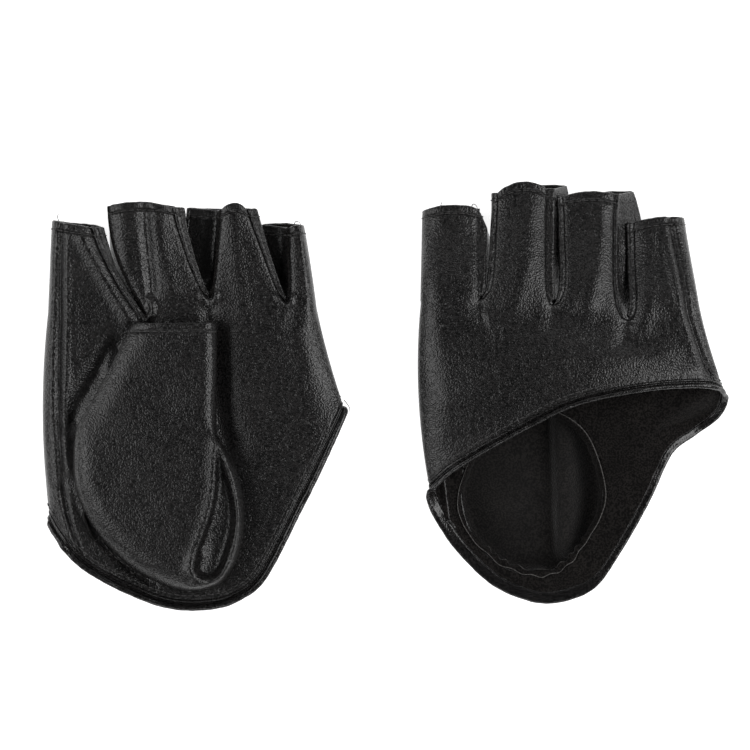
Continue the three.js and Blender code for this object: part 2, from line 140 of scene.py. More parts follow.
def spline(points, steps=10, closed=False):
    """A smooth line through a few points."""
    p = np.asarray(points, float)
    if closed:
        p = np.concatenate([p[-1:], p, p[:2]])
    else:
        p = np.concatenate([2 * p[:1] - p[1:2], p, 2 * p[-1:] - p[-2:-1]])
    t = np.linspace(0, 1, steps, endpoint=False)[:, None]
    parts = []
    for a, b, c, d in zip(p, p[1:], p[2:], p[3:]):
        parts.append(0.5 * (2 * b + (c - a) * t + (2 * a - 5 * b + 4 * c - d) * t**2
                            + (3 * b - a - 3 * c + d) * t**3))
    line = np.concatenate(parts)
    return line if closed else np.concatenate([line, p[-2:-1]])


def height_along(points):
    line = spline(points)
    return lambda x: np.interp(x, line[:, 0], line[:, 1])


def resample(line, step, closed=False):
    """Points a step apart along a line of points."""
    if closed:
        line = np.concatenate([line, line[:1]])
    length = np.concatenate([[0], np.cumsum(np.linalg.norm(np.diff(line, axis=0), axis=1))])
    count = max(2, int(round(length[-1] / step)))
    at = np.linspace(0, length[-1], count + 1)
    if closed:
        at = at[:-1]
    return np.stack([np.interp(at, length, line[:, i]) for i in range(line.shape[1])], 1)


def nearest(line, x, y):
    """For each x, y: its distance from a line of points, and how far along the line it is."""
    line = np.asarray(line, float)
    best = np.full(np.shape(x), np.inf)
    along = np.zeros(np.shape(x))
    lengths = np.linalg.norm(np.diff(line, axis=0), axis=1)
    start = 0.0
    for (ax, ay), (bx, by), length in zip(line, line[1:], lengths):
        dx, dy = (bx - ax) / length, (by - ay) / length
        u = np.clip((x - ax) * dx + (y - ay) * dy, 0, length)
        d = np.hypot(x - ax - u * dx, y - ay - u * dy)
        closer = d < best
        best = np.where(closer, d, best)
        along = np.where(closer, (start + u) / lengths.sum(), along)
        start += length
    return best, along


def inside(line, x, y):
    """Whether each x, y is inside a closed line of points."""
    result = np.zeros(np.shape(x), bool)
    for (ax, ay), (bx, by) in zip(line, np.roll(line, -1, axis=0)):
        crosses = (ay > y) != (by > y)
        result ^= crosses & (x < ax + (y - ay) * (bx - ax) / (by - ay + 1e-12))
    return result


def lattice_noise(p, cell, seed):
    """Smooth random heights from -1 to 1 at points p, between the corners of a lattice."""
    q = p / cell
    base = np.floor(q).astype(np.int64)
    f = smooth(q - base)
    total = 0
    for corner in np.ndindex(2, 2, 2):
        c = base + corner
        h = (c[..., 0] * 73856093) ^ (c[..., 1] * 19349663) ^ (c[..., 2] * 83492791) ^ (seed * 2654435)
        h = ((h & 0x7FFFFFFF) * 1103515245 + 12345) & 0x7FFFFFFF
        h = ((h ^ (h >> 13)) * 1274126177) & 0x7FFFFFFF
        weight = np.prod(np.where(corner, f, 1 - f), axis=-1)
        total = total + weight * (h / 0x3FFFFFFF - 1)
    return total


# ---- materials
def nodes_of(name):
    """A new material, its node tree, its shader and the object's own coordinates."""
    material = bpy.data.materials.new(name)
    material.use_nodes = True
    tree = material.node_tree
    tree.nodes.clear()
    output = tree.nodes.new("ShaderNodeOutputMaterial")
    shader = tree.nodes.new("ShaderNodeBsdfPrincipled")
    tree.links.new(shader.outputs[0], output.inputs["Surface"])
    return material, tree, shader, tree.nodes.new("ShaderNodeTexCoord").outputs["Object"]


def feed(tree, made, inputs):
    """Gives a node's inputs their values, or links them to other nodes' outputs."""
    for key, value in inputs.items():
        if isinstance(value, bpy.types.NodeSocket):
            tree.links.new(value, made.inputs[key])
        else:
            made.inputs[key].default_value = value


def node(tree, kind, inputs, **settings):
    made = tree.nodes.new(kind)
    for key, value in settings.items():
        setattr(made, key, value)
    feed(tree, made, inputs)
    return made


def ramp(tree, value, stops):
    """Colours by position, each a grey or a red, green and blue."""
    made = node(tree, "ShaderNodeValToRGB", {"Fac": value})
    elements = made.color_ramp.elements
    while len(elements) < len(stops):
        elements.new(0.5)
    for element, (position, colour) in zip(elements, stops):
        element.position = position
        element.color = (*np.broadcast_to(colour, 3), 1)
    return made.outputs["Color"]


def ranged(tree, value, low, high):
    made = node(tree, "ShaderNodeMapRange", {"Value": value, "To Min": low, "To Max": high})
    return made.outputs["Result"]


def noise(tree, where, scale, detail):
    inputs = {"Vector": where, "Scale": scale, "Detail": detail}
    return node(tree, "ShaderNodeTexNoise", inputs).outputs["Fac"]


def product(tree, colour, mask):
    made = node(tree, "ShaderNodeMix", {"Factor": 1.0, 6: colour, 7: mask}, data_type="RGBA",
                blend_type="MULTIPLY")
    return made.outputs[2]


def raised(tree, height, strength, distance):
    inputs = {"Height": height, "Strength": strength, "Distance": distance}
    return node(tree, "ShaderNodeBump", inputs).outputs[0]


def leather_material(name, tone=1.0, rough=0.37, grain=1.0):
    """Coated leather: small soft pebbles, worn a little shinier on their raised places, with painted shade
    darkening the pits between them.
    """
    material, tree, shader, where = nodes_of(name)
    warp = node(tree, "ShaderNodeTexNoise", {"Vector": where, "Scale": 420.0, "Detail": 2.0})
    bent = node(tree, "ShaderNodeVectorMath", {0: warp.outputs["Color"], 1: (0.0013, 0.0013, 0.0013)},
                operation="MULTIPLY")
    place = node(tree, "ShaderNodeVectorMath", {0: where, 1: bent.outputs[0]}, operation="ADD")
    pebbles = noise(tree, place.outputs[0], 1850.0, 0.0)
    fine = noise(tree, where, 2600.0, 3.0)
    broad = noise(tree, where, 55.0, 3.0)
    height = node(tree, "ShaderNodeMath", {0: fine, 1: 0.1, 2: pebbles}, operation="MULTIPLY_ADD")
    colour = ramp(tree, broad, [
        (0.3, (0.0150 * tone, 0.0141 * tone, 0.0145 * tone)),
        (0.7, (0.0190 * tone, 0.0175 * tone, 0.0172 * tone)),
    ])
    # Painted shade: the base colour is darkened in the pits between the pebbles, where shade would fall in
    # deep grain.
    pit_shade = ramp(tree, pebbles, [(0.45, 0.02), (0.56, 1)])
    worn = ranged(tree, broad, rough - 0.05, rough + 0.05)
    dull = node(tree, "ShaderNodeMath", {0: pebbles, 1: -0.15, 2: worn}, operation="MULTIPLY_ADD")
    feed(tree, shader, {
        "Base Color": product(tree, colour, pit_shade),
        "Roughness": dull.outputs[0],
        "Normal": raised(tree, height.outputs[0], grain, 0.0002),
        "Specular IOR Level": 0.5,
    })
    return material


def lining_material(name, sheen):
    """The brushed backing bonded to the leather: matte, brownish black, with a short nap."""
    material, tree, shader, where = nodes_of(name)
    nap = noise(tree, where, 1700.0, 0.0)
    colour = ramp(tree, noise(tree, where, 90.0, 4.0), [(0.3, (0.0068, 0.0061, 0.0059)),
                                                        (0.7, (0.0108, 0.0097, 0.0091))])
    tufts = ramp(tree, nap, [(0.4, 0.4), (0.62, 1.7)])
    feed(tree, shader, {
        "Base Color": product(tree, colour, tufts),
        "Roughness": ranged(tree, nap, 0.8, 1.0),
        "Normal": raised(tree, nap, 0.8, 0.0003),
        "Specular IOR Level": 0.06,
        "Sheen Weight": sheen,
        "Sheen Roughness": 0.5,
    })
    return material


def cut_edge_material():
    """The cut edge of the leather, where its grey backing shows."""
    material, tree, shader, where = nodes_of("cut edge")
    fibres = noise(tree, where, 1500.0, 3.0)
    colour = ramp(tree, fibres, [(0.35, (0.03, 0.028, 0.027)), (0.7, (0.13, 0.125, 0.12))])
    normal = raised(tree, fibres, 0.6, 0.0002)
    feed(tree, shader, {"Base Color": colour, "Normal": normal, "Roughness": 0.85})
    return material


def thread_material():
    """Twisted polyester thread."""
    material, tree, shader, where = nodes_of("sewing thread")
    twist = node(tree, "ShaderNodeTexWave", {"Vector": where, "Scale": 900.0, "Distortion": 2.0},
                 bands_direction="DIAGONAL")
    colour = ramp(tree, twist.outputs["Fac"], [(0.2, 0.025), (0.8, (0.07, 0.067, 0.066))])
    normal = raised(tree, twist.outputs["Fac"], 0.5, 0.0001)
    feed(tree, shader, {"Base Color": colour, "Normal": normal, "Roughness": 0.55})
    return material


def floor_material():
    """White paper that glows a little, so that the gloves' shadows on it stay pale."""
    material, tree, shader, where = nodes_of("pale paper")
    mottle = ramp(tree, noise(tree, where, 30.0, 4.0), [(0.3, 0.9), (0.7, 0.92)])
    feed(tree, shader, {
        "Base Color": mottle,
        "Roughness": 0.95,
        "Specular IOR Level": 0.1,
        "Emission Color": (1, 1, 1, 1),
        "Emission Strength": 0.85,
    })
    return material


make_lights()
GRAIN = leather_material("glove leather")
BOUND = leather_material("binding leather", tone=0.85, rough=0.29, grain=0.5)
LINING = lining_material("bonded lining", 0.05)
NAP = lining_material("brushed thumb lining", 0.4)
CUT = cut_edge_material()
THREAD = thread_material()


# ---- meshes
def add_mesh(name, glove, materials, vertices, faces, kinds=None):
    """A smooth mesh from local millimetres. A face may repeat an index, which is then dropped."""
    places = (vertices + glove.origin) * MM
    places[:, 2] = np.maximum(places[:, 2], LOWEST)
    tidy, kept = [], []
    for i, face in enumerate(faces):
        loop = [int(v) for k, v in enumerate(face) if v != face[k - 1]]
        if len(set(loop)) == len(loop) and len(loop) > 2:
            tidy.append(loop)
            kept.append(i)
    mesh = bpy.data.meshes.new(name)
    mesh.from_pydata(places.tolist(), [], tidy)
    for material in materials:
        mesh.materials.append(material)
    if kinds is not None:
        mesh.polygons.foreach_set("material_index", np.asarray(kinds, np.int32)[kept])
    mesh.shade_smooth()
    mesh.update()
    return put(name, mesh)


def weld(vertices, faces):
    """Joins vertices in the same place, and drops those that no face uses."""
    used, back = np.unique(faces, return_inverse=True)
    vertices, faces = vertices[used], back.reshape(np.shape(faces))
    _, first, back = np.unique(np.round(vertices, 3), axis=0, return_index=True, return_inverse=True)
    return vertices[first], back.reshape(-1)[faces]


def grid_faces(rows, columns, start=0, closed=False):
    r, c = np.meshgrid(np.arange(rows - 1), np.arange(columns if closed else columns - 1), indexing="ij")
    n = (c + 1) % columns
    quads = np.stack([r * columns + c, r * columns + n, (r + 1) * columns + n, (r + 1) * columns + c], -1)
    return quads.reshape(-1, 4) + start


def vertex_normals(vertices, faces):
    a, b, c, d = (vertices[faces[:, i]] for i in range(4))
    face_normals = np.cross(c - a, d - b)
    normals = np.zeros_like(vertices)
    for i in range(4):
        np.add.at(normals, faces[:, i], face_normals)
    return unit(normals)


def thicken(vertices, faces, thickness):
    """A sheet with a rounded rim: its vertices, its faces and their kinds (0 out, 1 in, 2 rim)."""
    n = len(vertices)
    normals = vertex_normals(vertices, faces)
    start = faces.reshape(-1)
    end = np.roll(faces, -1, axis=1).reshape(-1)
    real = start != end
    start, end = start[real], end[real]
    open_edge = ~np.isin(start * n + end, end * n + start)
    start, end = start[open_edge], end[open_edge]
    tangent = unit(vertices[end] - vertices[start])
    around = np.zeros_like(vertices)
    for ids in (start, end):
        np.add.at(around, ids, np.cross(tangent, normals[ids]))
    edge = np.unique(np.concatenate([start, end]))
    place = np.full(n, -1)
    place[edge] = np.arange(len(edge))
    middle = vertices[edge] - normals[edge] * thickness / 2
    away = unit(around[edge])
    angles = np.radians(np.array([45, 90, 135]))
    rings = [middle + (normals[edge] * np.cos(a) + away * np.sin(a)) * thickness / 2 for a in angles]
    everything = np.concatenate([vertices, vertices - normals * thickness, *rings])
    levels = [edge, *(2 * n + k * len(edge) + np.arange(len(edge)) for k in range(3)), edge + n]
    i, j = place[start], place[end]
    rim_faces = [np.stack([upper[j], upper[i], lower[i], lower[j]], 1)
                 for upper, lower in zip(levels, levels[1:])]
    allfaces = np.concatenate([faces, faces[:, ::-1] + n, *rim_faces])
    kinds = np.repeat([0, 1, 2], [len(faces), len(faces), len(allfaces) - 2 * len(faces)])
    return everything, allfaces, kinds


def swept(centres, wide, up, profile, closed=True):
    """A closed profile of (along wide, along up) points, carried along a line."""
    a, b = profile[..., 0], profile[..., 1]
    rings = centres[:, None] + wide[:, None] * a[..., None] + up[:, None] * b[..., None]
    rows, columns = rings.shape[:2]
    vertices = rings.reshape(-1, 3)
    faces = grid_faces(rows, columns, closed=True)
    if closed:
        last = (rows - 1) * columns
        c = np.arange(columns)
        n = (c + 1) % columns
        faces = np.concatenate([faces, np.stack([last + c, last + n, n, c], 1)])
    return vertices, faces


def joined(parts):
    """Several pieces' vertices and faces as one."""
    vertices, faces, count = [], [], 0
    for points, loops in parts:
        vertices.append(points)
        faces += [[i + count for i in loop] for loop in loops]
        count += len(points)
    return np.concatenate(vertices), faces


def stitches(line, up, pitch=2.6, length=2.0, radius=0.2, sink=0.05, closed=True):
    """Separate stitches along a line, each a short bent rod with tapered ends."""
    line6 = resample(np.concatenate([line, up], 1), pitch, closed)
    centres, ups = line6[:, :3], unit(line6[:, 3:])
    if closed:
        along = unit(np.roll(centres, -1, axis=0) - np.roll(centres, 1, axis=0))
    else:
        along = unit(np.gradient(centres, axis=0))
    across = unit(np.cross(along, ups))
    ups = np.cross(across, along)
    stations = np.array([-0.5, -0.38, -0.15, 0.15, 0.38, 0.5])[:, None, None]
    sizes = np.array([0.35, 0.85, 1, 1, 0.85, 0.35])[:, None, None]
    rises = np.array([-0.6, -0.1, 0.15, 0.15, -0.1, -0.6])[:, None, None]
    steps, sides = len(stations), 7
    angles = (np.arange(sides) / sides * 2 * np.pi)[:, None]
    wide, tall = np.cos(angles) * radius, np.sin(angles) * radius
    centres, along, across, ups = (v[:, None, None] for v in (centres, along, across, ups))
    parts = (centres + along * (stations * length) + across * wide * sizes + ups * tall * sizes
             + ups * (rises * radius - sink))
    count = len(centres)
    vertices = parts.reshape(-1, 3)
    one = grid_faces(steps, sides, closed=True)
    each = steps * sides
    faces = [list(f) for k in range(count) for f in one + k * each]
    for k in range(count):
        faces.append([k * each + i for i in range(sides)])
        faces.append([(k + 1) * each - sides + i for i in reversed(range(sides))])
    return vertices, faces


# ---- the two gloves' shapes
def joint_place(name):
    found = next(j for j in frame["joints"] if j["name"] == name)
    return np.array(found["pos_m"]) / MM


def finger(left, left_middle, right, right_middle, tops):
    """One face of a finger: its edges' x half way and at the tip, and its tip's y at three places."""
    return Shape(edges=((left_middle, left), (right_middle, right)), tops=tops)


LEFT = Shape(
    name="left",
    up=PALM,
    origin=joint_place("left_thumb_swing") - (42, 35.8, 11.8),
    # The x of each side at the hem, half way and at the knuckles.
    edge_x=((2.5, 0.3, 2.2), (107.5, 102.5, 98.6)),
    hem={
        PALM: height_along([(2.5, 36), (8.5, 26.5), (18.5, 17), (34, 9), (48, 4.3), (61.5, 4.4),
                            (70, 7.4), (77.5, 14), (89.4, 37), (98.3, 55), (107.5, 75)]),
        BACK: height_along([(2.5, 36), (7, 47), (21, 57.5), (35.5, 64.8), (50, 72), (65, 76.2),
                            (83, 79.1), (99, 80.4), (107.5, 75)]),
    },
    knuckle={
        PALM: [(2.2, 106), (37.5, 103.7), (60.2, 111.2), (87.6, 109.8), (98.6, 108)],
        BACK: [(2.2, 106), (26, 107), (50, 107), (76, 104), (98.6, 108)],
    },
    tips={
        PALM: [finger(3.7, 2.9, 17.9, 25.2, (138.8, 137.4, 136.4)),
               finger(24.7, 28.2, 46.9, 51.9, (143.9, 145.2, 143.4)),
               finger(64.6, 63.2, 73.6, 79.8, (142.6, 144.9, 143)),
               finger(88.8, 88.9, 94.2, 96.6, (136.3, 136.9, 137.2))],
        BACK: [finger(3.7, 2.9, 21, 23.3, (138.8, 138, 137)),
               finger(24.3, 24.6, 48, 48.4, (143.9, 144.9, 143.9)),
               finger(52.4, 51, 74, 75.6, (143.6, 143.2, 143.4)),
               finger(79, 77.4, 94.2, 96.6, (137.6, 138, 137.2))],
    },
    # The heights of the lower and the upper face at the hem, the knuckles and the fingertips.
    low=(1.6, 0, 1.4),
    high=(11, 10.8, 12.6),
    # How soon the lower face comes to its height at the knuckles, and how far the back arches.
    settled=lambda across, t: t * 7,
    arch=0,
    # How far each panel's side seam lies in from the side, from the hem at 0 to the tip at 2.
    seam={PALM: [(0, 10.2), (0.12, 7.6), (0.25, 6.5), (0.5, 5.9), (0.75, 5.6), (1, 4.9), (1.5, 4.3),
                 (2, 3.8)],
          BACK: [(0, 7), (2, 7)]},
    # For each gap between fingers: how far each side's piping stands out, at its tip and foot.
    piping=[((4.8, 2.4), (0.6, 0.6)), ((4.6, 1.9), (0.5, 0.5)), ((3.9, 1.7), (0.6, 0.6))],
    # How far each side of a gap stands back from the foot of the gap.
    opening=[(1.4, 1.8), (1.2, 1.1), (1.0, 1.2)],
    # How far the right wall of each gap is sunk, and the gaps whose left piping ends in a taper.
    hollow=[0, 1, 0.6],
    tapered=[],
    # The piping's second ridge, and the groove beside it.
    double=0.75,
    groove=0.75,
    # The thumb's axis, its hole's centre and radii, and the y where it parts from the palm.
    hinge=(42, 35.8, 11.8),
    hole=((42, 35.8), (21.5, 21.5)),
    parting=52,
)

RIGHT = Shape(
    name="right",
    up=BACK,
    origin=joint_place("right_thumb_swing") - (41.2, 36, 9.9),
    edge_x=((3.5, -0.1, 0.8), (109, 103.8, 100)),
    hem={
        PALM: height_along([(3.5, 43), (8, 34), (16, 22), (27.5, 10.5), (37.5, 5.4), (46, 3.6), (55, 5.4),
                            (63, 9.6), (71.5, 21.6), (80.5, 37.8), (88.5, 54.5), (97.6, 61.6), (104, 66),
                            (107.4, 69.8), (109, 76)]),
        BACK: height_along([(3.5, 43), (10, 49), (22, 56.6), (36.7, 64.8), (51, 72), (65.5, 76.2),
                            (83.5, 79.1), (98, 80), (104.4, 79.6), (107.8, 78.2), (109, 76)]),
    },
    knuckle={
        PALM: [(0.6, 107), (24.5, 103), (51.5, 101), (77, 95.5), (100, 106)],
        BACK: [(0.6, 107), (21.4, 107.6), (47.6, 105.6), (74.4, 100.2), (100, 106)],
    },
    tips={
        PALM: [finger(1.4, 1, 21.8, 27.4, (139.5, 139.4, 139.2)),
               finger(30, 27.8, 53.4, 54.6, (146.2, 148.6, 148.7)),
               finger(56.4, 55.2, 77.4, 81.4, (144.6, 146.4, 146.6)),
               finger(81.4, 82, 95.4, 97.6, (135.6, 137, 137.2))],
        BACK: [finger(1.4, 1, 21.3, 21.2, (139.5, 141.4, 140.2)),
               finger(28.2, 26.8, 45.8, 45.6, (145.8, 149.6, 147.4)),
               finger(51.6, 51.6, 70.2, 69.9, (144.6, 146.2, 145.4)),
               finger(77, 76.8, 95.4, 97.6, (135.2, 137, 137))],
    },
    low=(3, 10.9, 1.6),
    high=(18, 21.6, 12.8),
    settled=lambda across, t: np.maximum(t * 4, 3.4 - across * 3.4),
    arch=9,
    seam={PALM: [(0, 7), (2, 7)], BACK: [(0, 4.2), (0.2, 4.8), (1, 5), (2, 5.2)]},
    piping=[((3.5, 3.2), (2.1, 2.1)), ((3.7, 3.4), (2.1, 2.1)), ((2.0, 2.0), (2.6, 2.6))],
    opening=[(0.4, 3.0), (1.7, 3.0), (3.0, 2.2)],
    hollow=[0, 0, 0],
    tapered=[0],
    double=0,
    groove=0.35,
    hinge=(41.2, 36, 9.9),
    hole=((40.7, 40.2), (25.6, 30.4)),
    parting=65,
)

# Thread ends left where a row of stitches starts.
LEFT.loose = [
    [(6.5, 139, 12.4), (6.2, 140.6, 12.8), (6.9, 141.8, 12.6)],
    [(90.4, 137, 13.4), (91.2, 138.6, 13.8), (92.6, 138.2, 13.9), (93.4, 136.4, 13.6)],
    [(108.4, 75, 9), (110.2, 72.6, 9.6), (110.6, 70.4, 8.6)],
]
RIGHT.loose = [
    [(7.6, 139.6, 12.8), (8, 141.8, 13), (8.6, 143.2, 12.6)],
    [(18.6, 139.8, 13), (19.4, 142, 13.2), (20.6, 141.6, 13.2), (21.4, 139.8, 12.8)],
    [(89.4, 55.2, 4.4), (91.4, 54.6, 4.8), (92.2, 52.6, 4)],
]

# Folds and furrows of the upper face: height, width, and the line they follow.
LEFT.folds = [
    (0.9, 1.5, [(9.6, 136), (9.3, 111), (8.9, 75), (8.6, 57), (10, 45)]),
    (0.5, 1.0, [(4.4, 136), (4.1, 111), (3.6, 90), (3.4, 65)]),
    (1.2, 2.4, [(13.4, 139), (14.6, 134), (21.4, 121), (31.6, 104), (34.5, 99)]),
    (-1.8, 1.7, [(37.2, 149), (37.3, 140), (38.3, 128), (39.2, 118), (40, 108)]),
    (0.8, 3.4, [(42.4, 149), (42.6, 137), (45, 122), (49, 108)]),
    (0.5, 2.6, [(29, 149), (29.8, 134), (31.6, 118)]),
    (0.7, 3.4, [(68.6, 148), (69.4, 130), (71.5, 115), (74, 100)]),
    (-0.6, 2.6, [(60.4, 113), (60, 105), (58.5, 99)]),
    (-0.9, 3.0, [(37.6, 104), (39, 98), (44, 93), (52, 92)]),
    (-0.5, 2.6, [(87.6, 111), (86.5, 105), (84, 99)]),
    (1.2, 2.0, [(9.7, 46.1), (13, 37.8), (20.2, 25.6), (26, 19)]),
    (1.0, 1.8, [(4.7, 46.1), (7.2, 35), (11.9, 23)]),
    (-1.6, 1.9, [(10, 50), (11.6, 40.5), (17.6, 29.5), (31, 15.6), (45, 7.2)]),
    (-2.4, 4.2, [(31, 100), (23.4, 89.3), (17.4, 80), (12.5, 71), (9.5, 60)]),
    (0.9, 1.2, [(26.2, 94.4), (24.4, 89.3), (22.4, 84)]),
    (-2.4, 5.4, [(61.8, 108), (62.2, 88), (64, 68), (70, 50)]),
    (0.8, 7, [(90, 112), (93, 98), (98, 80)]),
    (1.4, 1.1, [(34.2, 109.6), (35.4, 106), (37.8, 104.4), (39.9, 106.2), (39.6, 109.8), (38.6, 113)]),
    (1.2, 1.0, [(57.2, 115), (57.9, 111.8), (60.2, 109.8), (62.4, 111.4), (62.6, 115)]),
    (1.2, 1.0, [(84.4, 114), (85.2, 110.8), (87.4, 108.6), (89.6, 110.2), (89.8, 114)]),
]
RIGHT.folds = [
    (0.9, 1.6, [(97.6, 136), (99.6, 120), (102, 100), (105, 86)]),
    (0.9, 1.8, [(87.2, 136), (90, 120), (93.4, 104), (97.6, 90), (101, 83)]),
    (0.9, 4.4, [(40, 149), (39.4, 132), (36.5, 116), (31, 98)]),
    (1.2, 4.0, [(65.4, 146), (65, 128), (62, 112), (57, 98)]),
    (0.8, 3.4, [(82.4, 136), (82, 118), (81, 104), (78, 92)]),
    (-0.5, 2.4, [(21.4, 110), (21.8, 103), (24, 97)]),
    (-0.5, 2.4, [(47.6, 108), (47.6, 101), (47, 95)]),
    (-0.6, 2.4, [(74.4, 103), (73.4, 96), (71, 88)]),
    (0.5, 2.0, [(24, 105), (26, 99), (29, 92)]),
    (-0.8, 7, [(24, 70), (50, 84), (74, 89), (92, 90)]),
]


# ---- a glove's skin
def level(lane, s, t):
    """How near its full height a finger's skin is, across the finger, and across the knuckles below."""
    outer = ((s < 0.5) & (lane == 0)) | ((s >= 0.5) & (lane == 3))
    near = 2 * np.minimum(s, 1 - s)
    blunt = np.where(outer, 0, 0.3 * smooth((1 - t) / 0.09))
    low = np.where(outer, 0, EDGE_LEVEL)
    return low + (1 - low) * quarter_round(np.hypot(near, blunt) / 0.85)


def lay(glove, points, upper):
    """Adds the folds, and the leather's slight unevenness, to points on the skin."""
    x, y = points[..., 0], points[..., 1]
    rise = 0.42 * lattice_noise(points, 17, 3) + 0.16 * lattice_noise(points, 6.5, 5)
    if upper:
        for height, width, line in glove.folds:
            d, along = nearest(spline(line, 5), x, y)
            rise = rise + height * np.exp(-((d / width) ** 2)) * smooth(np.minimum(along, 1 - along) / 0.18)
    points[..., 2] += rise
    return points


def finger_length(glove, side, lane):
    """From the knuckles to a finger's opening, which lies about 3 mm off their level."""
    return np.hypot(glove.tips[side][lane].tops[1] - glove.knuckle[side][lane][1], 3)


def skin(glove, lane, s, side, t):
    """A place on the skin: s across a finger lane, t from 0 at the hem by 1 at the knuckles to 2."""
    s, t = np.broadcast_arrays(np.asarray(s, float), np.asarray(t, float))
    knuckles = glove.knuckle[side]
    (x0, y0), (x1, y1) = knuckles[lane], knuckles[lane + 1]
    across = (mix(x0, x1, s) - knuckles[0][0]) / (knuckles[4][0] - knuckles[0][0])
    facing = 1 if side == glove.up else -1
    body, w = np.clip(t, 0, 1), np.clip(t - 1, 0, 1)
    left, right = (bowed(*edge, body) for edge in glove.edge_x)
    hem_x = mix(glove.edge_x[0][0], glove.edge_x[1][0], across)
    tip = glove.tips[side][lane]
    apart = quarter_round(w / 0.16) * (1 - smooth(w * 1.4))
    back_left = glove.opening[lane - 1][1] * apart if lane > 0 else 0
    back_right = glove.opening[lane][0] * apart if lane < 3 else 0
    fx = mix(bowed(x0, *tip.edges[0], w) + back_left, bowed(x1, *tip.edges[1], w) - back_right, s)
    x = np.where(t <= 1, mix(left, right, across), fx)
    knuckle_y = mix(y0, y1, s)
    y = np.where(t <= 1, mix(glove.hem[side](hem_x), knuckle_y, body),
                 mix(knuckle_y, bowed(*tip.tops, s), w))
    low = np.where(t <= 1, mix(glove.low[0], glove.low[1], smooth(glove.settled(across, body))),
                   mix(glove.low[1], glove.low[2], smooth(w)))
    bow = glove.arch * np.sin(np.pi * across) * (1 - smooth(body)) if facing > 0 else 0
    high = np.where(t <= 1, mix(glove.high[0], glove.high[1], smooth(body * 2.2)) + bow,
                    mix(glove.high[1], glove.high[2], smooth(w)))
    body_level = quarter_round(np.minimum(across, 1 - across) / ROLL)
    rise = mix(body_level, level(lane, s, t), smooth((t - 0.72) / 0.28))
    # The row of stitches draws the leather in below each opening.
    hem_distance = (2 - t) * finger_length(glove, side, lane) - HEM_STEP
    groove = 0.62 * np.exp(-((hem_distance / 0.5) ** 2)) * (t > 1)
    half = (high - low) / 2 - groove
    points = np.stack([x, y, (low + high) / 2 + facing * half * rise], -1)
    return lay(glove, points, facing > 0)


def lane_width(glove, side, lane, t):
    (x0, _), (x1, _) = glove.knuckle[side][lane:lane + 2]
    (left_mid, left), (right_mid, right) = glove.tips[side][lane].edges
    w = np.clip(t - 1, 0, 1)
    return bowed(x1, right_mid, right, w) - bowed(x0, left_mid, left, w)


def seam_shares(glove, side, t):
    """How far in from the glove's side a panel's seam lies, as a share of the lane it is in."""
    at, offset = np.array(glove.seam[side]).T
    return np.interp(t, at, offset) / lane_width(glove, side, SEAM_LANE[side], t)


def panel_columns(glove, side, lane, t):
    """A lane's columns at rows t, as a list of (side, s over the rows), from the index side on."""
    even = np.linspace(0, 1, 31)
    eased = 0.5 - 0.5 * np.cos(np.pi * even)
    if lane not in SEAM_LANE.values():
        return [(side, np.full_like(t, s)) for s in mix(even, eased, 0.6)]
    if lane == SEAM_LANE[side]:
        start = seam_shares(glove, side, t)
        columns = [(side, mix(start, 1, s)) for s in mix(even, eased, 0.4)]
    else:
        wrap = seam_shares(glove, OTHER[side], t)
        round_off = [(OTHER[side], wrap * s) for s in np.sin(np.linspace(1, 0, 14) * np.pi / 2)[:-1]]
        columns = round_off + [(side, np.full_like(t, s)) for s in 1 - np.cos(even * np.pi / 2)]
    if lane == 3:
        columns = [(face, 1 - s) for face, s in columns][::-1]
    return columns


def panel(glove, side):
    """A panel, before it is given a thickness."""
    body = np.linspace(0, 1, 84)
    fingers = np.unique(np.concatenate([np.linspace(1, 2, 54)[1:], np.linspace(1.885, 1.975, 20)]))
    t = np.concatenate([body, fingers])
    all_vertices, all_faces, start = [], [], 0
    for lane in range(4):
        columns = panel_columns(glove, side, lane, t)
        grid = np.stack([skin(glove, lane, s, face, t) for face, s in columns], 1)
        grid = dip_seams(glove, lane, t, columns, grid)
        all_vertices.append(grid.reshape(-1, 3))
        all_faces.append(grid_faces(*grid.shape[:2], start))
        start += len(all_vertices[-1])
    vertices, faces = np.concatenate(all_vertices), np.concatenate(all_faces)
    if side != glove.up:
        faces = faces[:, ::-1]
    return weld(vertices, faces)


def dip_seams(glove, lane, t, columns, grid):
    """Sinks a panel's edge where it is sewn to the other panel, and roughens its openings."""
    for seam_side, seam_lane in SEAM_LANE.items():
        seam = seam_shares(glove, seam_side, t)
        width = lane_width(glove, seam_side, seam_lane, t)
        facing = 1 if seam_side == glove.up else -1
        for c, (face, s) in enumerate(columns):
            if lane == seam_lane and face == seam_side:
                own = s if lane == 0 else 1 - s
                d = np.abs(own - seam) * width
                grid[:, c, 2] -= facing * 1.25 * np.exp(-((d / 1.15) ** 2))
    gather = np.sin(grid[..., 0] * 2.1 + 1.5 * lattice_noise(grid, 9, 8))
    hem_distance = t[:, None] * BODY_LENGTH
    grid[..., 2] += 0.07 * gather * np.exp(-((hem_distance / 4) ** 2))
    frayed = lattice_noise(grid, 1.7, 11) * 0.16
    grid[..., 1] += frayed * (t[:, None] >= 2)
    return grid


def cut_hole(vertices, faces, centre, radii):
    """Opens an elliptical hole in a sheet and draws its edge to the ellipse."""
    offset = (vertices[:, :2] - centre) / radii
    r = np.linalg.norm(offset, axis=1)
    within = r < 1
    kept = faces[~within[faces].all(1)]
    edge = np.zeros(len(vertices), bool)
    edge[kept.reshape(-1)] = True
    edge &= within
    vertices = vertices.copy()
    vertices[edge, :2] = centre + radii * offset[edge] / r[edge, None]
    return weld(vertices, kept)


